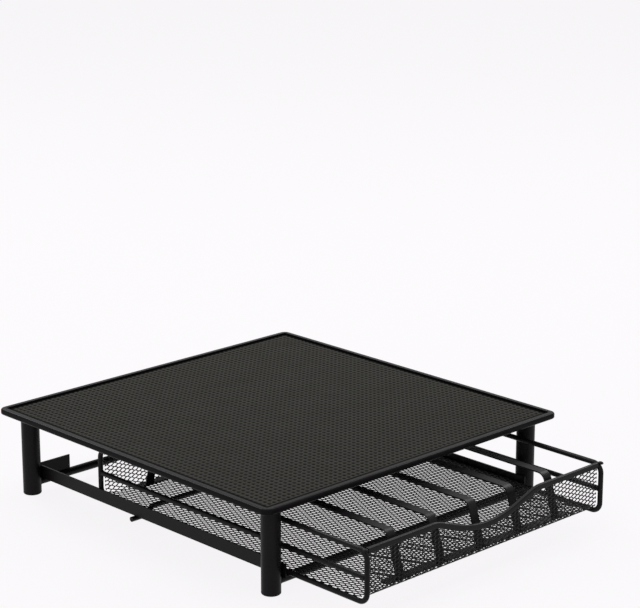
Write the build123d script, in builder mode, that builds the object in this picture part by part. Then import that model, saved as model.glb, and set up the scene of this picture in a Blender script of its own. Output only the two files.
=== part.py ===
"""Coffee pod drawer: a low steel stand with a tray on top and a wire and mesh drawer below.

X is the width (left is -X), the drawer opens towards -Y and Z is up. The table is at Z = 0.
The origin lies on the table under the middle of the whole object, drawer drawn as photographed.
"""
import os
from math import atan, cos, radians, sin, tan

from build123d import *

os.makedirs("parts", exist_ok=True)

# ---- driving dimensions, millimetres ----

# tray
tray_width = 406.0
tray_depth = 410.0
tray_height = 94.0  # top of the rim above the table
rim_width = 6.0
rim_height = 6.5
rim_corner = 8.0  # plan radius of the rim's corners
rim_round = 2.2  # rounding of the rim's outer long edges
rim_flange = 4.0  # ledge inside the rim that carries the panel
rim_flange_thickness = 1.5
panel_thickness = 1.2
panel_recess = 1.3  # top of the panel below the top of the rim
panel_gap = 0.15  # around the panel, inside the rim

# legs
leg_diameter = 19.0
leg_wall = 1.2
leg_inset_x = 24.7  # leg axis in from the tray's edge
leg_inset_y = 21.4
foot_height = 3.0  # plastic below the tube
foot_plug_height = 12.0  # plastic inside the tube
foot_plug_gap = 0.2
foot_round = 1.6

# rails, crossbars and stops
crossbar_diameter = 8.6
crossbar_clearance = 7.0  # under the crossbars, above the table
rail_height = 13.4
rail_ledge = 12.5
rail_thickness = 1.5
stop_width = 38.0
stop_height = 15.0  # above the crossbar
stop_thickness = 1.5

# drawer wires
wire_diameter = 5.2
side_clearance = 0.8  # drawer wire to rail
slide_clearance = 0.3  # drawer wire above the rail's ledge
front_setback = 1.65  # closed drawer behind the tray's front edge
stop_clearance = 0.3
loop_height = 50.1  # bottom wire to top wire, centre to centre
mid_wire_height = 24.5  # above the bottom wire
loop_corner = 9.6  # on the wire's centre line
tip_wire_behind = 58.5  # anti-tip wire, ahead of the drawer's rear wires
tip_wire_gap = 0.4  # below the rails
tip_wire_reach = 4.0  # past the rail's outer face, into the path of the legs
tip_wire_bend = 6.0
tip_wire_joggle = 6.0  # run of the slant between the two levels
tip_wire_slack = 4.0  # slant to rail ledge

# drawer nets and hems
sheet_thickness = 1.2
hem_thickness = 4.4
hem_height = 5.6
hem_round = 1.3
hem_drop = 0.8  # top of the hem below the top of the side wires
end_gap = 0.3  # sheet and hem ends to the side wires
notch_half_width = 69.5
notch_angle = 19.8  # degrees, slope of the notch's sides
notch_bottom_radius = 118.0  # on the hem's top edge
notch_top_radius = 30.0
wall_net_long = 20.0  # drawn at twice the real pitch
wall_net_short = 9.2
wall_net_strand = 2.0
floor_net_long = 40.0  # drawn at four times the real pitch
floor_net_short = 20.0
floor_net_strand = 4.0
net_border = 3.0  # unpierced edge of each sheet

# pod lanes: flat strips bent like staples, welded on a strap at each end of the floor
lane_count = 6
lane_strip_width = 10.0
lane_strip_thickness = 1.5
lane_strip_height = 43.6  # middle of the top run above the straps
lane_strip_lean = 13.0  # top corner behind the foot
lane_strip_bend = 9.0
lane_strap_width = 10.0
lane_strap_thickness = 1.5
lane_strap_end = 17.0  # past the outermost strip's middle
lane_strap_setback = 1.0  # behind the wall's fold
lane_foot_offset = 4.25  # foot to the strap's middle, so their outer faces are flush
weld_gap = 0.02  # strip's end above its strap

# drawer position as photographed
drawn_out = 94.0  # from closed

# ---- places worked out from them ----

wire_radius = wire_diameter / 2
leg_radius = leg_diameter / 2

# the whole object runs from the tray's back edge to the front of the drawn-out drawer
overhang = drawn_out - front_setback
stand_y = overhang / 2  # middle of the stand
leg_x = tray_width / 2 - leg_inset_x
leg_y = tray_depth / 2 - leg_inset_y

panel_top = tray_height - panel_recess
panel_bottom = panel_top - panel_thickness
rim_bottom = tray_height - rim_height

crossbar_z = crossbar_clearance + crossbar_diameter / 2
rail_bottom = crossbar_clearance + crossbar_diameter
ledge_top = rail_bottom + rail_thickness
rail_outer_x = leg_x - leg_radius
rail_inner_x = rail_outer_x - rail_thickness
ledge_x = rail_outer_x - rail_ledge
stop_face_y = stand_y + leg_y - stop_thickness / 2

loop_x = rail_inner_x - side_clearance - wire_radius
bottom_z = ledge_top + slide_clearance + wire_radius
top_z = bottom_z + loop_height
mid_z = bottom_z + mid_wire_height
rear_y = stop_face_y - stop_clearance - drawn_out - wire_radius
front_y = stand_y - tray_depth / 2 + front_setback - drawn_out + wire_radius

floor_bottom = bottom_z + wire_radius
floor_top = floor_bottom + sheet_thickness
fold_outer = loop_corner - wire_radius
fold_inner = fold_outer - sheet_thickness
fold_front_y = front_y + loop_corner  # where the front wall's fold meets the floor
fold_rear_y = rear_y - loop_corner
wall_half_width = loop_x - wire_radius - end_gap
hem_top = top_z + wire_radius - hem_drop
hem_middle = hem_top - hem_height / 2
hem_bottom = hem_top - hem_height
front_wall_y = front_y + wire_radius + sheet_thickness / 2  # middle of the sheet
rear_wall_y = rear_y - wire_radius - sheet_thickness / 2

strap_top = floor_top + lane_strap_thickness
strap_front_y = fold_front_y + lane_strap_setback + lane_strap_width / 2
strap_rear_y = fold_rear_y - lane_strap_setback - lane_strap_width / 2
lane_front_y = strap_front_y - lane_foot_offset
lane_rear_y = strap_rear_y + lane_foot_offset
lane_top_z = strap_top + lane_strip_height
lane_pitch = 2 * loop_x / lane_count


def save(builder, name):
    """Label a finished piece and write its STEP file."""
    builder.part.label = name
    export_step(builder.part, f"parts/{name}.step")


def notch_line(drop):
    """Corner points (x, z) and radii of the hem's top edge, lowered square to itself by drop."""
    slope = radians(notch_angle)
    corner_x = notch_half_width + drop * tan(slope / 2)
    apex_z = hem_top - notch_half_width * tan(slope) - drop / cos(slope)
    level = hem_top - drop
    points = [
        (-wall_half_width, level),
        (-corner_x, level),
        (0, apex_z),
        (corner_x, level),
        (wall_half_width, level),
    ]
    radii = [notch_top_radius - drop, notch_bottom_radius + drop, notch_top_radius - drop]
    return points, radii


def net_places(width, height, long_pitch, short_pitch, keep):
    """Centres of a diamond lattice over width (long way) by height, where keep(u, v) holds."""
    columns = int(width / long_pitch) + 1
    rows = int(height / short_pitch) + 1
    places = []
    for column in range(-columns, columns + 1):
        for row in range(-rows, rows + 1):
            if (column + row) % 2 == 0:
                u = column * long_pitch / 2
                v = row * short_pitch / 2
                if keep(u, v):
                    places.append((u, v))
    return places


def diamond(long_pitch, short_pitch, strand):
    """Corner points of one opening: the lattice diamond less its strands."""
    across = strand / 2 * (1 + (long_pitch / short_pitch) ** 2) ** 0.5
    half_short = short_pitch / 2 - across * short_pitch / long_pitch
    half_long = long_pitch / 2 - across
    return [(half_long, 0), (0, half_short), (-half_long, 0), (0, -half_short)]


# ---- tray ----

inner_width = tray_width - 2 * rim_width
inner_depth = tray_depth - 2 * rim_width
inner_corner = rim_corner - rim_width

with BuildPart() as tray_rim:
    with BuildSketch(Plane.XY.offset(rim_bottom)):
        with Locations((0, stand_y)):
            RectangleRounded(tray_width, tray_depth, rim_corner)
            RectangleRounded(inner_width, inner_depth, inner_corner, mode=Mode.SUBTRACT)
    extrude(amount=rim_height)
    top_face = tray_rim.faces().sort_by(Axis.Z)[-1]
    bottom_face = tray_rim.faces().sort_by(Axis.Z)[0]
    fillet(top_face.outer_wire().edges() + bottom_face.outer_wire().edges(), radius=rim_round)
    with BuildSketch(Plane.XY.offset(panel_bottom - rim_flange_thickness)):
        with Locations((0, stand_y)):
            RectangleRounded(inner_width, inner_depth, inner_corner)
            Rectangle(
                inner_width - 2 * rim_flange, inner_depth - 2 * rim_flange, mode=Mode.SUBTRACT
            )
    extrude(amount=rim_flange_thickness)
save(tray_rim, "tray_rim")

with BuildPart() as tray_panel:
    with BuildSketch(Plane.XY.offset(panel_bottom)):
        with Locations((0, stand_y)):
            RectangleRounded(
                inner_width - 2 * panel_gap, inner_depth - 2 * panel_gap, inner_corner - panel_gap
            )
    extrude(amount=panel_thickness)
save(tray_panel, "tray_panel")

# ---- legs and feet ----

corners = {
    "front_left": (-1, -1),
    "front_right": (1, -1),
    "rear_left": (-1, 1),
    "rear_right": (1, 1),
}
bore_radius = leg_radius - leg_wall
for corner, (side, end) in corners.items():
    axis = (side * leg_x, stand_y + end * leg_y)

    with BuildPart() as leg:
        with BuildSketch(Plane.XY.offset(foot_height)):
            with Locations(axis):
                Circle(leg_radius)
                Circle(bore_radius, mode=Mode.SUBTRACT)
        extrude(amount=panel_bottom - foot_height)
    save(leg, f"leg_{corner}")

    with BuildPart() as foot:
        with BuildSketch():
            with Locations(axis):
                Circle(leg_radius)
        extrude(amount=foot_height)
        fillet(foot.edges().sort_by(Axis.Z)[0], radius=foot_round)
        with BuildSketch(Plane.XY.offset(foot_height)):
            with Locations(axis):
                Circle(bore_radius - foot_plug_gap)
        extrude(amount=foot_plug_height)
    save(foot, f"foot_{corner}")

# ---- crossbars, rails and rear stops ----

for name, end in (("crossbar_front", -1), ("crossbar_rear", 1)):
    with BuildPart() as crossbar:
        with BuildSketch(Plane.YZ.offset(-rail_outer_x)):
            with Locations((stand_y + end * leg_y, crossbar_z)):
                Circle(crossbar_diameter / 2)
        extrude(amount=2 * rail_outer_x)
    save(crossbar, name)

rail_reach = leg_y + leg_radius
for name, side in (("side_rail_left", -1), ("side_rail_right", 1)):
    with BuildPart() as rail:
        with BuildSketch(Plane.XZ.offset(-(stand_y - rail_reach))):
            with BuildLine():
                Polyline(
                    (side * rail_outer_x, rail_bottom),
                    (side * rail_outer_x, rail_bottom + rail_height),
                    (side * rail_inner_x, rail_bottom + rail_height),
                    (side * rail_inner_x, ledge_top),
                    (side * ledge_x, ledge_top),
                    (side * ledge_x, rail_bottom),
                    close=True,
                )
            make_face()
        extrude(amount=-2 * rail_reach)
    save(rail, name)

for name, side in (("rear_stop_left", -1), ("rear_stop_right", 1)):
    with BuildPart() as stop:
        with BuildSketch(Plane.XZ.offset(-stop_face_y)):
            with BuildLine():
                Polyline(
                    (side * rail_inner_x, ledge_top),
                    (side * ledge_x, ledge_top),
                    (side * ledge_x, rail_bottom),
                    (side * (rail_inner_x - stop_width), rail_bottom),
                    (side * (rail_inner_x - stop_width), rail_bottom + stop_height),
                    (side * rail_inner_x, rail_bottom + stop_height),
                    close=True,
                )
            make_face()
        extrude(amount=-stop_thickness)
    save(stop, name)

# ---- drawer sides ----

for hand, side in (("left", -1), ("right", 1)):
    with BuildPart() as side_loop:
        with BuildLine(Plane.YZ.offset(side * loop_x)) as loop_line:
            FilletPolyline(
                (front_y, bottom_z),
                (rear_y, bottom_z),
                (rear_y, top_z),
                (front_y, top_z),
                radius=loop_corner,
                close=True,
            )
        with BuildSketch(Plane(origin=loop_line.line @ 0, z_dir=loop_line.line % 0)):
            Circle(wire_radius)
        sweep(path=loop_line.line)
    save(side_loop, f"drawer_side_loop_{hand}")

    with BuildPart() as mid_wire:
        with BuildSketch(Plane.XZ.offset(-(front_y + wire_radius))):
            with Locations((side * loop_x, mid_z)):
                Circle(wire_radius)
        extrude(amount=-(rear_y - front_y - wire_diameter))
    save(mid_wire, f"drawer_mid_wire_{hand}")

# ---- drawer floor ----

floor_length = fold_rear_y - fold_front_y
floor_middle_y = (fold_rear_y + fold_front_y) / 2


def floor_hole(u, v):
    """Whether an opening centred there keeps clear of the sheet's edges."""
    return (
        abs(u) + floor_net_long / 2 < floor_length / 2 - net_border + floor_net_strand
        and abs(v) + floor_net_short / 2 < loop_x - net_border + floor_net_strand / 2
    )


with BuildPart() as floor_net:
    with BuildSketch(Plane.XY.offset(floor_bottom)):
        with Locations((0, floor_middle_y)):
            Rectangle(2 * loop_x, floor_length)
        holes = net_places(
            floor_length, 2 * loop_x, floor_net_long, floor_net_short, floor_hole
        )
        with Locations([(v, floor_middle_y + u) for u, v in holes]):
            Polygon(
                *[(v, u) for u, v in diamond(floor_net_long, floor_net_short, floor_net_strand)],
                mode=Mode.SUBTRACT,
            )
    extrude(amount=sheet_thickness)
save(floor_net, "drawer_floor_net")

# ---- drawer walls: a pierced sheet with a fold at its foot that meets the floor ----

wall_foot_z = floor_bottom + fold_outer
wall_middle_z = (wall_foot_z + hem_bottom) / 2


def hem_bottom_at(x):
    """Height of the notched hem's bottom edge, a little low near its rounded corners."""
    sloped = hem_top - (notch_half_width - abs(x)) * tan(radians(notch_angle)) - hem_height
    rounded = hem_top - hem_height - notch_half_width * tan(radians(notch_angle))
    rounded += notch_bottom_radius * (1 / cos(radians(notch_angle)) - 1)
    return min(hem_bottom, max(sloped, rounded) - 1)


def front_hole(u, v):
    """Whether an opening centred there lies inside the notched front wall."""
    tip = wall_middle_z + v + wall_net_short / 2
    side_room = abs(u) + wall_net_long / 2 < wall_half_width - net_border + wall_net_strand
    above = tip < hem_bottom_at(u) - net_border / 2
    return side_room and above and wall_middle_z + v - wall_net_short / 2 > wall_foot_z


def rear_hole(u, v):
    """Whether an opening centred there lies inside the straight rear wall."""
    tip = wall_middle_z + v + wall_net_short / 2
    side_room = abs(u) + wall_net_long / 2 < wall_half_width - net_border + wall_net_strand
    return side_room and tip < hem_bottom and wall_middle_z + v - wall_net_short / 2 > wall_foot_z


front_line, front_radii = notch_line(hem_height)
wall_shape = diamond(wall_net_long, wall_net_short, wall_net_strand)
wall_height = hem_bottom - wall_foot_z

with BuildPart() as front_net:
    with BuildSketch(Plane.XZ.offset(-(front_y + wire_radius))):
        with BuildLine():
            FilletPolyline(*front_line, radius=front_radii)
            Polyline(
                front_line[0],
                (-wall_half_width, wall_foot_z),
                (wall_half_width, wall_foot_z),
                front_line[-1],
            )
        make_face()
        holes = net_places(
            2 * wall_half_width, wall_height, wall_net_long, wall_net_short, front_hole
        )
        with Locations([(u, wall_middle_z + v) for u, v in holes]):
            Polygon(*wall_shape, mode=Mode.SUBTRACT)
    extrude(amount=-sheet_thickness)
    with BuildSketch(Plane.YZ.offset(-wall_half_width)):
        with Locations((fold_front_y, wall_foot_z)):
            Circle(fold_outer)
            Circle(fold_inner, mode=Mode.SUBTRACT)
            Rectangle(
                2 * fold_outer, 2 * fold_outer, align=(Align.CENTER, Align.MIN), mode=Mode.SUBTRACT
            )
            Rectangle(
                2 * fold_outer, 2 * fold_outer, align=(Align.MIN, Align.CENTER), mode=Mode.SUBTRACT
            )
    extrude(amount=2 * wall_half_width)
save(front_net, "drawer_front_net")

with BuildPart() as rear_net:
    with BuildSketch(Plane.XZ.offset(-(rear_y - wire_radius))):
        with Locations((0, wall_middle_z)):
            Rectangle(2 * wall_half_width, wall_height)
        holes = net_places(
            2 * wall_half_width, wall_height, wall_net_long, wall_net_short, rear_hole
        )
        with Locations([(u, wall_middle_z + v) for u, v in holes]):
            Polygon(*wall_shape, mode=Mode.SUBTRACT)
    extrude(amount=sheet_thickness)
    with BuildSketch(Plane.YZ.offset(-wall_half_width)):
        with Locations((fold_rear_y, wall_foot_z)):
            Circle(fold_outer)
            Circle(fold_inner, mode=Mode.SUBTRACT)
            Rectangle(
                2 * fold_outer, 2 * fold_outer, align=(Align.CENTER, Align.MIN), mode=Mode.SUBTRACT
            )
            Rectangle(
                2 * fold_outer, 2 * fold_outer, align=(Align.MAX, Align.CENTER), mode=Mode.SUBTRACT
            )
    extrude(amount=2 * wall_half_width)
save(rear_net, "drawer_rear_net")

# ---- hems along the tops of the two walls ----

front_path, front_path_radii = notch_line(hem_height / 2)
with BuildPart() as front_hem:
    with BuildLine(Plane.XZ.offset(-front_wall_y)) as hem_line:
        FilletPolyline(*front_path, radius=front_path_radii)
    with BuildSketch(Plane(origin=hem_line.line @ 0, x_dir=(0, 1, 0), z_dir=hem_line.line % 0)):
        RectangleRounded(hem_thickness, hem_height, hem_round)
    sweep(path=hem_line.line)
save(front_hem, "drawer_front_hem")

with BuildPart() as rear_hem:
    with BuildSketch(Plane.YZ.offset(-wall_half_width)):
        with Locations((rear_wall_y, hem_middle)):
            RectangleRounded(hem_thickness, hem_height, hem_round)
    extrude(amount=2 * wall_half_width)
save(rear_hem, "drawer_rear_hem")

# ---- anti-tip wire: carries the floor's rear, dips and reaches out below both rails ----

tip_y = rear_y - tip_wire_behind
tip_low_z = rail_bottom - tip_wire_gap - wire_radius
tip_low_x = ledge_x - tip_wire_slack
tip_high_x = tip_low_x - tip_wire_joggle
tip_end_x = rail_outer_x + tip_wire_reach

with BuildPart() as tip_wire:
    with BuildLine(Plane.XZ.offset(-tip_y)) as tip_line:
        FilletPolyline(
            (-tip_end_x, tip_low_z),
            (-tip_low_x, tip_low_z),
            (-tip_high_x, bottom_z),
            (tip_high_x, bottom_z),
            (tip_low_x, tip_low_z),
            (tip_end_x, tip_low_z),
            radius=tip_wire_bend,
        )
    with BuildSketch(Plane(origin=tip_line.line @ 0, z_dir=tip_line.line % 0)):
        Circle(wire_radius)
    sweep(path=tip_line.line)
save(tip_wire, "drawer_anti_tip_wire")

# ---- pod lanes ----

strap_half_width = (lane_count / 2 - 1) * lane_pitch + lane_strap_end
for name, y in (("lane_strap_front", strap_front_y), ("lane_strap_rear", strap_rear_y)):
    with BuildPart() as strap:
        with BuildSketch(Plane.XY.offset(floor_top)):
            with Locations((0, y)):
                Rectangle(2 * strap_half_width, lane_strap_width)
        extrude(amount=lane_strap_thickness)
    save(strap, name)

lean = atan(lane_strip_lean / lane_strip_height)
foot_z = strap_top + lane_strip_thickness / 2 * sin(lean) + weld_gap
for lane in range(1, lane_count):
    with BuildPart() as lane_strip:
        with BuildLine(Plane.YZ.offset((lane - lane_count / 2) * lane_pitch)) as lane_line:
            FilletPolyline(
                (lane_front_y, foot_z),
                (lane_front_y + lane_strip_lean, lane_top_z),
                (lane_rear_y - lane_strip_lean, lane_top_z),
                (lane_rear_y, foot_z),
                radius=lane_strip_bend,
            )
        start = Plane(origin=lane_line.line @ 0, x_dir=(1, 0, 0), z_dir=lane_line.line % 0)
        with BuildSketch(start):
            Rectangle(lane_strip_width, lane_strip_thickness)
        sweep(path=lane_line.line)
    save(lane_strip, f"lane_strip_{lane}")
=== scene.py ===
"""Coffee pod drawer: finishes, true-pitch nets, embossed tray and a plain studio.

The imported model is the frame. Each operator below makes one group of pieces or one finish in it,
and the sidebar's panel lists them in the order in which they run.
"""
from math import cos, pi, radians, sin

import bmesh
import bpy
from bpy.props import (
    FloatProperty, FloatVectorProperty, IntProperty, PointerProperty, StringProperty,
)
from mathutils import Matrix, Vector
from mathutils.bvhtree import BVHTree


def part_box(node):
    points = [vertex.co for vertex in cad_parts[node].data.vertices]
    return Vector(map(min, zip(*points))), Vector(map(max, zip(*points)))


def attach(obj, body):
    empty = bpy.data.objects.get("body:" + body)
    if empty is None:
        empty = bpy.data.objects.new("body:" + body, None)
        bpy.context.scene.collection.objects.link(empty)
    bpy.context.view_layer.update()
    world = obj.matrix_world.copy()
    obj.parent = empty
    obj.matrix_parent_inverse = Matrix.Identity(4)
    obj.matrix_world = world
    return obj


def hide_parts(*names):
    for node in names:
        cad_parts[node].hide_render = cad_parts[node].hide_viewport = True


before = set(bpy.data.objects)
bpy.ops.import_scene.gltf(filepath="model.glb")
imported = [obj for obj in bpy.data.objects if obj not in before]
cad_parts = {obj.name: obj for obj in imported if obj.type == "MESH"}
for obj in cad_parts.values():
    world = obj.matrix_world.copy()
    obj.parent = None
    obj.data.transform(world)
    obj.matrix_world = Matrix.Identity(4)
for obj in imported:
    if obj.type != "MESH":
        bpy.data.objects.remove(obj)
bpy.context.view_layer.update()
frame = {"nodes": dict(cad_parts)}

bl_info = {
    "name": "Coffee pod drawer",
    "version": (1, 0, 0),
    "blender": (4, 5, 0),
    "location": "View3D > Sidebar > Pod drawer",
    "description": "Finishes, nets and studio for a coffee pod drawer",
    "category": "Object",
}

MM = 0.001
NODES = frame["nodes"]
DRAWER_SIDES = ("left", "right")


# ---- small helpers ----

def linear(code):
    """sRGB hex colour, such as "#1d1b1d", to a linear RGBA tuple."""
    channels = [int(code[i:i + 2], 16) / 255 for i in (1, 3, 5)]
    light = [c / 12.92 if c <= 0.04045 else ((c + 0.055) / 1.055) ** 2.4 for c in channels]
    return (*light, 1.0)


def add_node(tree, kind, settings=None, inputs=None):
    """Adds a node with its settings. An input that is a socket is linked, any other is a value."""
    node = tree.nodes.new(kind)
    for name, value in (settings or {}).items():
        setattr(node, name, value)
    for name, value in (inputs or {}).items():
        if isinstance(value, bpy.types.NodeSocket):
            tree.links.new(value, node.inputs[name])
        else:
            node.inputs[name].default_value = value
    return node


def new_piece(name, bm, body, material, smooth=True):
    """Makes a finished piece from a bmesh, in place, riding on a body."""
    mesh = bpy.data.meshes.new(name)
    bm.to_mesh(mesh)
    bm.free()
    mesh.polygons.foreach_set("use_smooth", [smooth] * len(mesh.polygons))
    mesh.materials.append(material)
    piece = bpy.data.objects.new(name, mesh)
    bpy.context.scene.collection.objects.link(piece)
    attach(piece, body)
    return piece


def dress(node, material):
    """Gives a CAD node its finish."""
    piece = NODES[node]
    if not piece.data.materials:
        piece.data.materials.append(None)
    for place in piece.material_slots:
        place.material = material


def middle(node):
    """Centre of a node's box."""
    low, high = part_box(node)
    return (low + high) / 2


# ---- finishes ----

CLOUD = 35 * MM  # width of the slow changes in a coat's shade and gloss
NOISE_SPAN = {"From Min": 0.3, "From Max": 0.7}  # the values that Blender's noise mostly has
SMOOTHER, ROUGHER = 0.04, 0.05  # how far patches lie from the coat's own roughness


def powder_coat(name, colour, roughness, grain, relief, mottle, sheen=0.1):
    """Baked polyester powder on steel: a skin with a fine orange-peel swell.

    The eye sees soft, slightly broken highlights and a black that is never quite even.
    grain is the swell's width and relief its height, both in metres, and mottle is the share
    by which the shade varies. sheen is the specular level: the powder's flatting agent keeps it
    far under a plain lacquer's.
    """
    material = bpy.data.materials.new(name)
    material.use_nodes = True
    tree = material.node_tree
    shader = tree.nodes["Principled BSDF"]
    shader.inputs["Specular IOR Level"].default_value = sheen
    place = add_node(tree, "ShaderNodeTexCoord").outputs["Object"]
    swell = add_node(
        tree, "ShaderNodeTexNoise", {"noise_dimensions": "3D"},
        {"Vector": place, "Scale": 1 / grain, "Detail": 2.0, "Roughness": 0.5},
    )
    cloud = add_node(
        tree, "ShaderNodeTexNoise", {"noise_dimensions": "3D"},
        {"Vector": place, "Scale": 1 / CLOUD, "Detail": 3.0, "Roughness": 0.6},
    )
    shade = add_node(
        tree, "ShaderNodeMapRange", None,
        {"Value": cloud.outputs["Fac"], **NOISE_SPAN, "To Min": 1 - mottle, "To Max": 1 + mottle},
    )
    tint = add_node(
        tree, "ShaderNodeVectorMath", {"operation": "SCALE"},
        {0: linear(colour)[:3], "Scale": shade.outputs["Result"]},
    )
    tree.links.new(tint.outputs["Vector"], shader.inputs["Base Color"])
    gloss = add_node(
        tree, "ShaderNodeMapRange", None,
        {"Value": cloud.outputs["Fac"], **NOISE_SPAN,
         "To Min": roughness - SMOOTHER, "To Max": roughness + ROUGHER},
    )
    tree.links.new(gloss.outputs["Result"], shader.inputs["Roughness"])
    bump = add_node(
        tree, "ShaderNodeBump", None,
        {"Height": swell.outputs["Fac"], "Strength": 0.5, "Distance": relief},
    )
    tree.links.new(bump.outputs["Normal"], shader.inputs["Normal"])
    return material


THREADS = 5  # fine ridges in each pitch of the embossed sheet
HOLLOW, CREST = 1.4, -0.2  # where hollow ends and crest begins, in two waves' sum of 2 to -2
BORDER_FADE = 1.5 * MM  # width over which the crests' colour fades out at the plain border


def embossed_coat(name, colour, crest, roughness, pitch, low, high, border):
    """Powder coat over rolled, embossed sheet: matte crests and darker hollows, in painted light.

    The crests' lighter colour is painted light and the hollows' darker colour is painted shade.
    Fine threads cross the sheet, one way on the crests and the other way in the hollows, so the
    eye reads a woven skin. pitch is the distance from hollow to hollow, and the plain border
    inside the sheet's box, from low to high, stays as dark as a hollow: painted shade for the
    groove beside the rim. Seen as flat as a tray is, even a little gloss would wash it grey, so
    its sheen is nearly nothing.
    """
    material = powder_coat(
        name, colour, roughness, grain=0.9 * MM, relief=0.05 * MM, mottle=0.06, sheen=0.01)
    tree = material.node_tree
    shader = tree.nodes["Principled BSDF"]
    place = add_node(tree, "ShaderNodeTexCoord").outputs["Object"]
    parts = add_node(tree, "ShaderNodeSeparateXYZ", None, {"Vector": place})

    waves = []
    for axis, period in (
        ("X", pitch), ("Y", pitch), ("Y", pitch / THREADS), ("X", pitch / THREADS),
    ):
        turned = add_node(
            tree, "ShaderNodeMath", {"operation": "MULTIPLY"},
            {0: parts.outputs[axis], 1: 2 * pi / period},
        )
        waves.append(add_node(
            tree, "ShaderNodeMath", {"operation": "COSINE"}, {0: turned.outputs[0]}).outputs[0])
    across, along, hollow_threads, crest_threads = waves
    crate = add_node(tree, "ShaderNodeMath", {"operation": "ADD"}, {0: across, 1: along})
    height = add_node(
        tree, "ShaderNodeMapRange", None,
        {"Value": crate.outputs[0], "From Min": HOLLOW, "From Max": CREST,
         "To Min": 0.0, "To Max": 1.0},
    )
    inside = []
    for axis, start, end in (("X", low.x, high.x), ("Y", low.y, high.y)):
        off = add_node(
            tree, "ShaderNodeMath", {"operation": "SUBTRACT"},
            {0: parts.outputs[axis], 1: (start + end) / 2},
        )
        span = add_node(tree, "ShaderNodeMath", {"operation": "ABSOLUTE"}, {0: off.outputs[0]})
        edge = (end - start) / 2 - border
        ramp = add_node(
            tree, "ShaderNodeMapRange", None,
            {"Value": span.outputs[0], "From Min": edge, "From Max": edge - BORDER_FADE,
             "To Min": 0.0, "To Max": 1.0},
        )
        inside.append(ramp.outputs["Result"])
    within = add_node(
        tree, "ShaderNodeMath", {"operation": "MULTIPLY"}, {0: inside[0], 1: inside[1]})
    # The crests get the lighter crest colour, painted light on them; the hollows and the plain
    # border by the groove keep the darker base colour, painted shade.
    painted_light_share = add_node(
        tree, "ShaderNodeMath", {"operation": "MULTIPLY"},
        {0: height.outputs["Result"], 1: within.outputs[0]},
    )
    threads = add_node(
        tree, "ShaderNodeMix", {"data_type": "FLOAT"},
        {0: height.outputs["Result"], 2: hollow_threads, 3: crest_threads},
    )
    ribs = add_node(
        tree, "ShaderNodeBump", None,
        {"Height": threads.outputs[0], "Strength": 0.35, "Distance": 0.12 * MM,
         "Normal": shader.inputs["Normal"].links[0].from_socket},
    )
    tree.links.new(ribs.outputs["Normal"], shader.inputs["Normal"])
    base = shader.inputs["Base Color"].links[0].from_socket
    painted_light_mix = add_node(
        tree, "ShaderNodeMix", {"data_type": "RGBA"},
        {0: painted_light_share.outputs[0], 6: base, 7: linear(crest)},
    )
    tree.links.new(painted_light_mix.outputs[2], shader.inputs["Base Color"])
    return material


def moulded_foot(name, colour):
    """Injection-moulded polyethylene, spark-eroded mould: a dull, even, faintly grained black."""
    material = powder_coat(
        name, colour, roughness=0.58, grain=0.35 * MM, relief=0.03 * MM, mottle=0.03)
    material.node_tree.nodes["Principled BSDF"].inputs["IOR"].default_value = 1.51
    return material


# ---- settings that a user would change ----

class TraySettings(bpy.types.PropertyGroup):
    """The embossed sheet."""

    pitch: FloatProperty(
        name="Emboss pitch", description="From one hollow to the next, both ways",
        default=6.0 * MM, unit="LENGTH",
    )
    relief: FloatProperty(
        name="Relief", description="Height of a crest above a hollow", default=0.9 * MM,
        unit="LENGTH",
    )
    border: FloatProperty(
        name="Flat border", description="From the sheet's edge to the emboss at its full depth",
        default=6.5 * MM, unit="LENGTH",
    )
    groove: FloatProperty(
        name="Groove", description="Width of the sunk edge beside the rim", default=4.0 * MM,
        unit="LENGTH",
    )
    groove_depth: FloatProperty(
        name="Groove depth", description="Depth of the sunk edge", default=0.9 * MM, unit="LENGTH",
    )
    steps: IntProperty(
        name="Steps", description="Mesh steps in each pitch", default=4,
    )


class NetSettings(bpy.types.PropertyGroup):
    """The expanded metal of the drawer's floor and end walls."""

    floor_long: FloatProperty(
        name="Floor long way", description="Long pitch of the floor's openings, front to back",
        default=10.6 * MM, unit="LENGTH",
    )
    floor_short: FloatProperty(
        name="Floor short way", description="Short pitch of the floor's openings, side to side",
        default=4.8 * MM, unit="LENGTH",
    )
    wall_long: FloatProperty(
        name="Wall long way", description="Long pitch of the walls' openings, side to side",
        default=10.6 * MM, unit="LENGTH",
    )
    wall_short: FloatProperty(
        name="Wall short way", description="Short pitch of the walls' openings, up and down",
        default=4.2 * MM, unit="LENGTH",
    )
    strand: FloatProperty(
        name="Strand", description="Width of a strand", default=0.9 * MM, unit="LENGTH",
    )
    bond: FloatProperty(
        name="Bond", description="Length of the knuckle where two strands part", default=1.8 * MM,
        unit="LENGTH",
    )
    gauge: FloatProperty(
        name="Gauge", description="Thickness of the metal", default=0.7 * MM, unit="LENGTH",
    )
    twist: FloatProperty(
        name="Twist", description="How far a strand's edges stand off the net's middle",
        default=0.2 * MM, unit="LENGTH",
    )


class FinishSettings(bpy.types.PropertyGroup):
    """Colours, as sRGB hex."""

    frame: StringProperty(
        name="Frame", description="Legs, rails, rim and crossbars", default="#110f11",
    )
    wire: StringProperty(
        name="Wire", description="Drawer wires, hems and strips", default="#121012",
    )
    net: StringProperty(name="Net", description="Expanded metal", default="#100f10")
    # The tray's two colours paint its light and shade: the crests' lighter colour is painted light,
    # and the hollows' darker colour is painted shade.
    tray: StringProperty(
        name="Tray hollows", description="Hollows of the embossed sheet", default="#090908",
    )
    crest: StringProperty(
        name="Tray crests", description="Crests of the embossed sheet", default="#31302d",
    )
    foot: StringProperty(name="Feet", description="Plastic feet", default="#131113")


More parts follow.
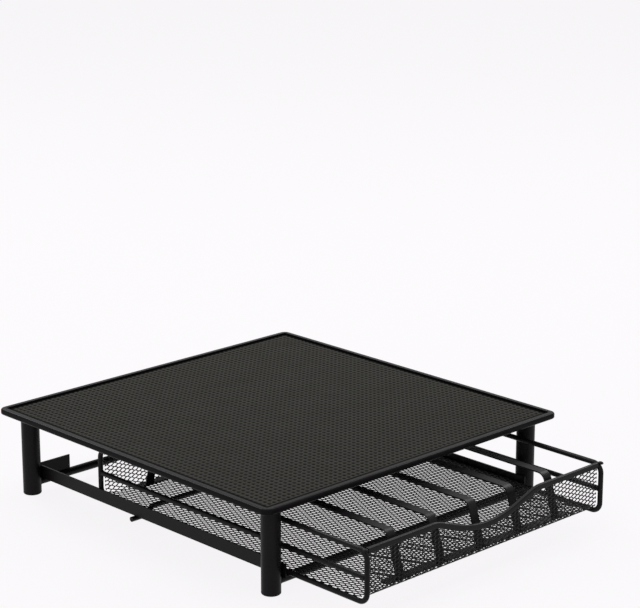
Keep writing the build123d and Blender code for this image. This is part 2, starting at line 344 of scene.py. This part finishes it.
class StudioSettings(bpy.types.PropertyGroup):
    """Camera and light, from the photograph's solved view."""

    azimuth: FloatProperty(
        name="Azimuth", description="Camera's bearing, 0 looks along +Y", default=radians(-43.929),
        subtype="ANGLE",
    )
    elevation: FloatProperty(
        name="Elevation", description="Camera's height angle", default=radians(15.752),
        subtype="ANGLE",
    )
    distance: FloatProperty(
        name="Distance", description="Camera to the plane of its aim", default=2294.03 * MM,
        unit="LENGTH",
    )
    aim: FloatVectorProperty(
        name="Aim", description="Aim right of and above the middle of the stand's foot",
        default=(44.335 * MM, 199.43 * MM), size=2, unit="LENGTH",
    )
    view_width: FloatProperty(
        name="View width", description="Horizontal field of view", default=radians(16.524),
        subtype="ANGLE",
    )
    paper: StringProperty(name="Paper", description="Floor colour", default="#fcfafc")
    paper_shade: StringProperty(
        name="Paper shade", description="Floor where light and shadow fall on it",
        default="#dddbdd",
    )
    room_light: FloatProperty(
        name="Room light", description="Strength of the white room as a light", default=0.5,
        min=0.0,
    )
    paper_glow: FloatProperty(
        name="Paper glow", description="Share of the floor that the camera sees without shadow",
        default=0.92, subtype="FACTOR",
    )


# ---- pieces ----

class POD_OT_finish_frame(bpy.types.Operator):
    """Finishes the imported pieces: stand, wires, hems, strips and feet"""

    bl_idname = "pod.finish_frame"
    bl_label = "Finish the frame"

    def execute(self, context):
        colours = context.scene.pod_finish
        tube = powder_coat(
            "Satin powder coat on steel tube", colours.frame,
            roughness=0.40, grain=1.3 * MM, relief=0.06 * MM, mottle=0.10,
        )
        wire = powder_coat(
            "Satin powder coat on drawn wire", colours.wire,
            roughness=0.36, grain=1.1 * MM, relief=0.05 * MM, mottle=0.10,
        )
        # The rim is smoother, so one thin bright line runs along its round.
        rim = powder_coat(
            "Satin powder coat on rolled rim", colours.frame,
            roughness=0.26, grain=1.3 * MM, relief=0.03 * MM, mottle=0.06, sheen=0.04,
        )
        foot = moulded_foot("Moulded polyethylene foot", colours.foot)
        for node in NODES:
            if node.endswith("_net") or node == "tray_panel":
                continue
            if node.startswith("foot"):
                dress(node, foot)
            elif node.startswith(("drawer", "lane")):
                dress(node, wire)
            elif node == "tray_rim":
                dress(node, rim)
            else:
                dress(node, tube)
        return {"FINISHED"}


class POD_OT_tray_panel(bpy.types.Operator):
    """Embossed sheet in the tray's rim"""

    bl_idname = "pod.tray_panel"
    bl_label = "Embossed tray sheet"

    def execute(self, context):
        sizes = context.scene.pod_tray
        colours = context.scene.pod_finish
        low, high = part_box("tray_panel")
        centre = (low + high) / 2
        width, depth = high.x - low.x, high.y - low.y
        step = sizes.pitch / sizes.steps
        top = Vector((centre.x, centre.y, high.z))
        bm = bmesh.new()
        bmesh.ops.create_grid(
            bm, x_segments=2 * int(width / 2 / step), y_segments=2 * int(depth / 2 / step),
            size=0.5, matrix=Matrix.LocRotScale(top, None, Vector((width, depth, 1))),
        )
        for vert in bm.verts:
            x, y = vert.co.x, vert.co.y
            inside = min(x - low.x, high.x - x, y - low.y, high.y - y)
            if inside < sizes.groove:
                vert.co.z -= sizes.groove_depth
                continue
            fade = min(1.0, (inside - sizes.groove) / (sizes.border - sizes.groove))
            hollow = (cos(2 * pi * x / sizes.pitch) + cos(2 * pi * y / sizes.pitch)) / 2
            vert.co.z -= sizes.relief * max(0.0, hollow) * fade
        rim_edges = [edge for edge in bm.edges if edge.is_boundary]
        skirt = bmesh.ops.extrude_edge_only(bm, edges=rim_edges)["geom"]
        bottom = [item for item in skirt if isinstance(item, bmesh.types.BMVert)]
        for vert in bottom:
            vert.co.z = low.z
        bmesh.ops.contextual_create(bm, geom=[edge for edge in bm.edges if edge.is_boundary])
        bmesh.ops.recalc_face_normals(bm, faces=bm.faces)
        coat = embossed_coat(
            "Powder coat on embossed sheet", colours.tray, colours.crest, roughness=0.50,
            pitch=sizes.pitch, low=low, high=high, border=sizes.groove,
        )
        piece = new_piece("tray_sheet_embossed", bm, "stand", coat)
        sharp_edges(piece, radians(50))
        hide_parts("tray_panel")
        return {"FINISHED"}


def sharp_edges(piece, angle):
    """Keeps edges sharper than angle crisp on a smooth piece."""
    bm = bmesh.new()
    bm.from_mesh(piece.data)
    for edge in bm.edges:
        edge.smooth = not (edge.is_manifold and edge.calc_face_angle(0) > angle)
    bm.to_mesh(piece.data)
    bm.free()


# ---- expanded metal ----

SPARE_TILES = 3  # more than the sheet needs each way, trimmed off with its edges
TILE_WELD = 0.02 * MM  # corners nearer than this are one
SIDE_INSET = 0.5 * MM  # keeps the ray that finds a hem off the hem's very end
UNDER_HEM = 2.0 * MM  # how far below a hem's top its net stops, behind the hem


def net_sheet(width, height, long_way, short_way, sizes):
    """A flat expanded sheet in X (long way) and Y (short way), centred, its strands twisted in Z.

    Each opening is a six-sided tile, inset by half a strand and emptied, and two tiles in a
    staggered pair are repeated over the sheet, welded and trimmed.
    """
    bm = bmesh.new()
    half_bond = sizes.bond / 2
    tip = long_way / 2 - half_bond
    corners = (
        (tip, 0), (half_bond, short_way / 2), (-half_bond, short_way / 2),
        (-tip, 0), (-half_bond, -short_way / 2), (half_bond, -short_way / 2),
    )
    bmesh.ops.create_circle(bm, cap_ends=True, segments=6, radius=1.0)
    hole = bm.faces[:]
    for vert, corner in zip(hole[0].verts, corners):
        vert.co = Vector((*corner, 0))
    bmesh.ops.inset_region(
        bm, faces=hole, thickness=sizes.strand / 2, use_even_offset=True, use_boundary=True)
    for vert in hole[0].verts:
        if abs(vert.co.y) > short_way / 10:  # all but the two tips, which stay flat
            vert.co.z = sizes.twist if vert.co.y > 0 else -sizes.twist
    bmesh.ops.delete(bm, geom=hole, context="FACES_ONLY")
    pair = bmesh.ops.duplicate(bm, geom=bm.verts[:] + bm.edges[:] + bm.faces[:])["geom"]
    bmesh.ops.translate(
        bm, verts=[item for item in pair if isinstance(item, bmesh.types.BMVert)],
        vec=(long_way / 2, short_way / 2, 0),
    )
    columns = int(width / long_way) + SPARE_TILES
    rows = int(height / short_way) + SPARE_TILES
    start = Vector((-columns * long_way / 2, -rows * short_way / 2, 0))
    bmesh.ops.translate(bm, verts=bm.verts, vec=start)
    bm = repeated(bm, columns, Vector((long_way, 0, 0)), rows, Vector((0, short_way, 0)))
    bmesh.ops.remove_doubles(bm, verts=bm.verts, dist=TILE_WELD)
    for side in (Vector((1, 0, 0)), Vector((-1, 0, 0)), Vector((0, 1, 0)), Vector((0, -1, 0))):
        reach = width / 2 if side.x else height / 2
        bmesh.ops.bisect_plane(
            bm, geom=bm.verts[:] + bm.edges[:] + bm.faces[:], plane_co=side * reach,
            plane_no=side, clear_outer=True,
        )
    return bm


def repeated(bm, columns, step, rows, lift):
    """The bmesh repeated in columns and rows by two Array modifiers, as a new bmesh."""
    mesh = bpy.data.meshes.new("repeat")
    bm.to_mesh(mesh)
    bm.free()
    carrier = bpy.data.objects.new("repeat", mesh)
    bpy.context.scene.collection.objects.link(carrier)
    for count, offset in ((columns, step), (rows, lift)):
        array = carrier.modifiers.new("Repeat", "ARRAY")
        array.count = count
        array.use_relative_offset = False
        array.use_constant_offset = True
        array.constant_offset_displace = offset
    depsgraph = bpy.context.evaluated_depsgraph_get()
    whole = bpy.data.meshes.new_from_object(carrier.evaluated_get(depsgraph))
    result = bmesh.new()
    result.from_mesh(whole)
    bpy.data.objects.remove(carrier)
    bpy.data.meshes.remove(mesh)
    bpy.data.meshes.remove(whole)
    return result


def thicken(piece, gauge):
    """Gives a net its gauge, equally on both sides."""
    solidify = piece.modifiers.new("Gauge", "SOLIDIFY")
    solidify.thickness = gauge
    solidify.offset = 0.0
    solidify.use_even_offset = False


class POD_OT_floor_net(bpy.types.Operator):
    """Expanded metal floor of the drawer at its real pitch"""

    bl_idname = "pod.floor_net"
    bl_label = "Floor net"

    def execute(self, context):
        sizes = context.scene.pod_net
        low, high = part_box("drawer_floor_net")
        width, length = high.x - low.x, high.y - low.y
        bm = net_sheet(length, width, sizes.floor_long, sizes.floor_short, sizes)
        turn = Matrix.Rotation(pi / 2, 4, "Z")
        bmesh.ops.transform(
            bm, matrix=Matrix.Translation((low + high) / 2) @ turn, verts=bm.verts)
        coat = net_coat(context)
        piece = new_piece("floor_net_expanded", bm, "drawer", coat, smooth=False)
        thicken(piece, sizes.gauge)
        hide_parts("drawer_floor_net")
        return {"FINISHED"}


def net_coat(context):
    """Powder coat on expanded metal, shared by the three nets: dull, with a glint at each twist."""
    name = "Satin powder coat on expanded steel"
    return bpy.data.materials.get(name) or powder_coat(
        name, context.scene.pod_finish.net,
        roughness=0.42, grain=0.8 * MM, relief=0.04 * MM, mottle=0.08,
    )


def hem_profile(hem, y):
    """A function of x that gives the height of a hem's top, found by a ray from above at y."""
    mesh = NODES[hem].data
    tree = BVHTree.FromPolygons(
        [vert.co for vert in mesh.vertices], [face.vertices for face in mesh.polygons])
    return lambda x: tree.ray_cast(Vector((x, y, 1.0)), Vector((0, 0, -1)))[0].z


class POD_OT_wall_nets(bpy.types.Operator):
    """Expanded metal end walls of the drawer, folded at the foot, cut under their hems"""

    bl_idname = "pod.wall_nets"
    bl_label = "Wall nets"

    def execute(self, context):
        sizes = context.scene.pod_net
        for end, outward in (("front", -1), ("rear", 1)):
            node, hem = f"drawer_{end}_net", f"drawer_{end}_hem"
            low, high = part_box(node)
            hem_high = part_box(hem)[1]
            face = low.y if outward < 0 else high.y
            reach = high.y - low.y
            radius = reach - sheet_gauge() / 2
            fold_y = face - outward * reach
            fold_z = low.z + reach
            arc = radius * pi / 2
            length = arc + hem_high.z - fold_z
            bm = net_sheet(high.x - low.x, length, sizes.wall_long, sizes.wall_short, sizes)
            hem_top = hem_profile(hem, middle(hem).y)
            for vert in bm.verts:
                x, run, off = vert.co.x, vert.co.y + length / 2, vert.co.z
                if run < arc:
                    angle = (arc - run) / radius
                    vert.co = Vector((
                        x, fold_y + outward * (radius + off) * cos(angle),
                        fold_z - (radius + off) * sin(angle)))
                else:
                    vert.co = Vector((x, fold_y + outward * (radius + off), fold_z + run - arc))
            side = high.x - SIDE_INSET
            cut = []
            for strand in bm.faces:
                spot = strand.calc_center_median()
                if spot.z > hem_top(max(-side, min(side, spot.x))) - UNDER_HEM:
                    cut.append(strand)
            bmesh.ops.delete(bm, geom=cut, context="FACES")
            coat = net_coat(context)
            piece = new_piece(
                f"{end}_net_expanded", bm, "drawer", coat, smooth=False)
            thicken(piece, sizes.gauge)
            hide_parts(node)
        return {"FINISHED"}


def sheet_gauge():
    """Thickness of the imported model's sheets, from the flat floor net."""
    low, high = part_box("drawer_floor_net")
    return high.z - low.z


# ---- welds ----

# Half sizes of the beads, in X, Y and Z.
HEM_END_BEAD = (2.6 * MM, 3.2 * MM, 1.7 * MM)
MID_WIRE_BEAD = (3.1 * MM, 1.5 * MM, 3.1 * MM)
LANE_FOOT_BEAD = (1.9 * MM, 1.3 * MM, 1.0 * MM)
CROSSBAR_BEAD = (1.3 * MM, 5.2 * MM, 5.2 * MM)

# Where beads sit: on a loop from its wire's middle, end and top, beyond a mid wire's end, and on
# a lane strip from its side, end and foot.
HEM_END_OUT, HEM_END_IN, HEM_END_DOWN = 1.0 * MM, 4.2 * MM, 1.7 * MM
MID_WIRE_GAP = 0.2 * MM
LANE_SIDE_IN, LANE_END_IN, LANE_FOOT_UP = 2.2 * MM, 2.1 * MM, 0.3 * MM


def beads(name, body, places, size, material):
    """Small squashed weld beads, one for each place."""
    bm = bmesh.new()
    for place in places:
        bmesh.ops.create_icosphere(
            bm, subdivisions=2, radius=1.0,
            matrix=Matrix.LocRotScale(Vector(place), None, Vector(size)),
        )
    return new_piece(name, bm, body, material)


class POD_OT_welds(bpy.types.Operator):
    """Weld beads where tubes, wires, hems, straps and strips meet, under the same coat"""

    bl_idname = "pod.welds"
    bl_label = "Welds"

    def execute(self, context):
        self.corners()
        self.lanes()
        self.stand()
        return {"FINISHED"}

    def corners(self):
        """Hem ends and mid wires on the side loops."""
        wire = NODES["drawer_mid_wire_left"].material_slots[0].material
        radius = wire_radius("drawer_mid_wire_left")
        hem_ends, wire_ends = [], []
        for side in DRAWER_SIDES:
            loop_low, loop_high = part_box(f"drawer_side_loop_{side}")
            x = (loop_low.x + loop_high.x) / 2
            outward = 1 if x > 0 else -1
            z = middle(f"drawer_mid_wire_{side}").z
            for y, inward in ((loop_low.y, 1), (loop_high.y, -1)):
                hem_ends.append((
                    x + outward * HEM_END_OUT, y + inward * HEM_END_IN,
                    loop_high.z - HEM_END_DOWN))
                wire_ends.append((x, y + inward * (2 * radius + MID_WIRE_GAP), z))
        beads("hem_end_welds", "drawer", hem_ends, HEM_END_BEAD, wire)
        beads("mid_wire_welds", "drawer", wire_ends, MID_WIRE_BEAD, wire)

    def lanes(self):
        """Feet of the lane strips on their straps."""
        wire = NODES["lane_strip_1"].material_slots[0].material
        feet = []
        for node in NODES:
            if not node.startswith("lane_strip"):
                continue
            low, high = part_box(node)
            for y, inward in ((low.y, 1), (high.y, -1)):
                for x in (low.x + LANE_SIDE_IN, high.x - LANE_SIDE_IN):
                    feet.append((x, y + inward * LANE_END_IN, low.z + LANE_FOOT_UP))
        beads("lane_foot_welds", "drawer", feet, LANE_FOOT_BEAD, wire)

    def stand(self):
        """Crossbars on the legs."""
        tube = NODES["crossbar_front"].material_slots[0].material
        places = []
        for bar in ("crossbar_front", "crossbar_rear"):
            low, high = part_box(bar)
            for x in (low.x, high.x):
                places.append((x, (low.y + high.y) / 2, (low.z + high.z) / 2))
        beads("crossbar_welds", "stand", places, CROSSBAR_BEAD, tube)


def wire_radius(node):
    """Half the height of a straight wire's box."""
    low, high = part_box(node)
    return (high.z - low.z) / 2


# ---- stage ----

FLOOR_REACH = 30.0  # metres each way from the object, past the view's edges
FAR_CLIP = 100.0  # metres, past the floor's far edge
LAMPS = (  # name, place and side in metres, power in watts
    ("overhead_box", (0.1, 0.1, 1.9), 1.8, 14.0),
    ("right_box", (1.9, 0.1, 1.8), 1.1, 22.0),
    ("left_fill", (-1.9, -0.6, 0.9), 1.0, 5.0),
    ("rear_box", (0.0, 2.0, 1.9), 1.1, 30.0),
)


class POD_OT_stage(bpy.types.Operator):
    """Pale floor, soft light and the photograph's camera"""

    bl_idname = "pod.stage"
    bl_label = "Studio"

    def execute(self, context):
        studio = context.scene.pod_studio
        scene = context.scene
        scene.view_settings.view_transform = "Standard"
        self.floor(studio)
        self.world(scene, studio)
        self.lamps()
        self.camera(scene, studio)
        return {"FINISHED"}

    def floor(self, studio):
        """Matte paper far larger than the view: an even white, faintly shadowed by the object."""
        bm = bmesh.new()
        bmesh.ops.create_grid(bm, x_segments=1, y_segments=1, size=FLOOR_REACH)
        mesh = bpy.data.meshes.new("paper_floor")
        bm.to_mesh(mesh)
        bm.free()
        floor = bpy.data.objects.new("paper_floor", mesh)
        bpy.context.scene.collection.objects.link(floor)
        material = bpy.data.materials.new("Matte background paper")
        material.use_nodes = True
        tree = material.node_tree
        shader = tree.nodes["Principled BSDF"]
        shader.inputs["Base Color"].default_value = linear(studio.paper_shade)
        shader.inputs["Roughness"].default_value = 0.9
        shader.inputs["Specular IOR Level"].default_value = 0.1
        share = add_node(
            tree, "ShaderNodeMath", {"operation": "MULTIPLY"},
            {0: self.seen(tree), 1: studio.paper_glow},
        )
        glow = add_node(
            tree, "ShaderNodeEmission", None, {"Color": linear(studio.paper), "Strength": 1.0})
        mix = add_node(
            tree, "ShaderNodeMixShader", None,
            {0: share.outputs[0], 1: shader.outputs[0], 2: glow.outputs[0]},
        )
        tree.links.new(mix.outputs[0], tree.nodes["Material Output"].inputs["Surface"])
        mesh.materials.append(material)

    def seen(self, tree):
        """1 for the rays that show the background: the eye's, a reflection's and a window's."""
        rays = add_node(tree, "ShaderNodeLightPath")
        total = rays.outputs["Is Camera Ray"]
        for kind in ("Is Glossy Ray", "Is Transmission Ray"):
            either = add_node(
                tree, "ShaderNodeMath", {"operation": "MAXIMUM"},
                {0: total, 1: rays.outputs[kind]},
            )
            total = either.outputs[0]
        return total

    def world(self, scene, studio):
        """White surroundings, dimmer as a light than to the eye and in reflections."""
        world = bpy.data.worlds.new("White studio")
        scene.world = world
        world.use_nodes = True
        tree = world.node_tree
        tree.nodes.clear()
        strength = add_node(
            tree, "ShaderNodeMapRange", None,
            {"Value": self.seen(tree), "To Min": studio.room_light, "To Max": 1.0},
        )
        white = add_node(
            tree, "ShaderNodeBackground", None,
            {"Color": linear("#ffffff"), "Strength": strength.outputs["Result"]},
        )
        add_node(tree, "ShaderNodeOutputWorld", None, {"Surface": white.outputs[0]})

    def lamps(self):
        """A big box overhead, two smaller ones that light the rim, and a fill at the left."""
        for name, place, side, watts in LAMPS:
            lamp = bpy.data.lights.new(name, "AREA")
            lamp.shape = "SQUARE"
            lamp.size = side
            lamp.energy = watts
            holder = bpy.data.objects.new(name, lamp)
            holder.location = place
            holder.rotation_euler = (-Vector(place)).to_track_quat("-Z", "Y").to_euler()
            bpy.context.scene.collection.objects.link(holder)

    def camera(self, scene, studio):
        """The photograph's view: aim is measured in the view's own right and up."""
        a, e = studio.azimuth, studio.elevation
        back = Vector((sin(a) * cos(e), -cos(a) * cos(e), sin(e)))
        right = Vector((cos(a), sin(a), 0))
        up = back.cross(right)
        foot = Vector((0, middle("tray_rim").y, 0))
        place = foot + right * studio.aim[0] + up * studio.aim[1] + back * studio.distance
        lens = bpy.data.cameras.new("photo_view")
        lens.sensor_fit = "HORIZONTAL"
        lens.angle = studio.view_width
        lens.clip_end = FAR_CLIP
        holder = bpy.data.objects.new("photo_view", lens)
        turn = Matrix((right, up, back)).transposed().to_4x4()
        holder.matrix_world = Matrix.Translation(place) @ turn
        bpy.context.scene.collection.objects.link(holder)
        scene.camera = holder


# ---- sidebar ----

STEPS = (
    POD_OT_finish_frame,
    POD_OT_tray_panel,
    POD_OT_floor_net,
    POD_OT_wall_nets,
    POD_OT_welds,
    POD_OT_stage,
)


class POD_PT_sidebar(bpy.types.Panel):
    """Lists the drawer's pieces and settings"""

    bl_idname = "POD_PT_sidebar"
    bl_label = "Pod drawer"
    bl_space_type = "VIEW_3D"
    bl_region_type = "UI"
    bl_category = "Pod drawer"

    def draw(self, context):
        for step in STEPS:
            self.layout.operator(step.bl_idname)
        for group, kind in SETTINGS:
            settings = getattr(context.scene, group)
            for name in settings.__annotations__:
                self.layout.prop(settings, name)


SETTINGS = (
    ("pod_tray", TraySettings),
    ("pod_net", NetSettings),
    ("pod_finish", FinishSettings),
    ("pod_studio", StudioSettings),
)


def register():
    for name, kind in SETTINGS:
        bpy.utils.register_class(kind)
        setattr(bpy.types.Scene, name, PointerProperty(type=kind))
    for kind in STEPS + (POD_PT_sidebar,):
        bpy.utils.register_class(kind)


def unregister():
    for kind in (POD_PT_sidebar,) + STEPS:
        bpy.utils.unregister_class(kind)
    for name, kind in SETTINGS:
        delattr(bpy.types.Scene, name)
        bpy.utils.unregister_class(kind)


def main():
    """Makes everything in order."""
    register()
    for step in STEPS:
        group, name = step.bl_idname.split(".")
        getattr(getattr(bpy.ops, group), name)()


if __name__ == "__main__":
    main()
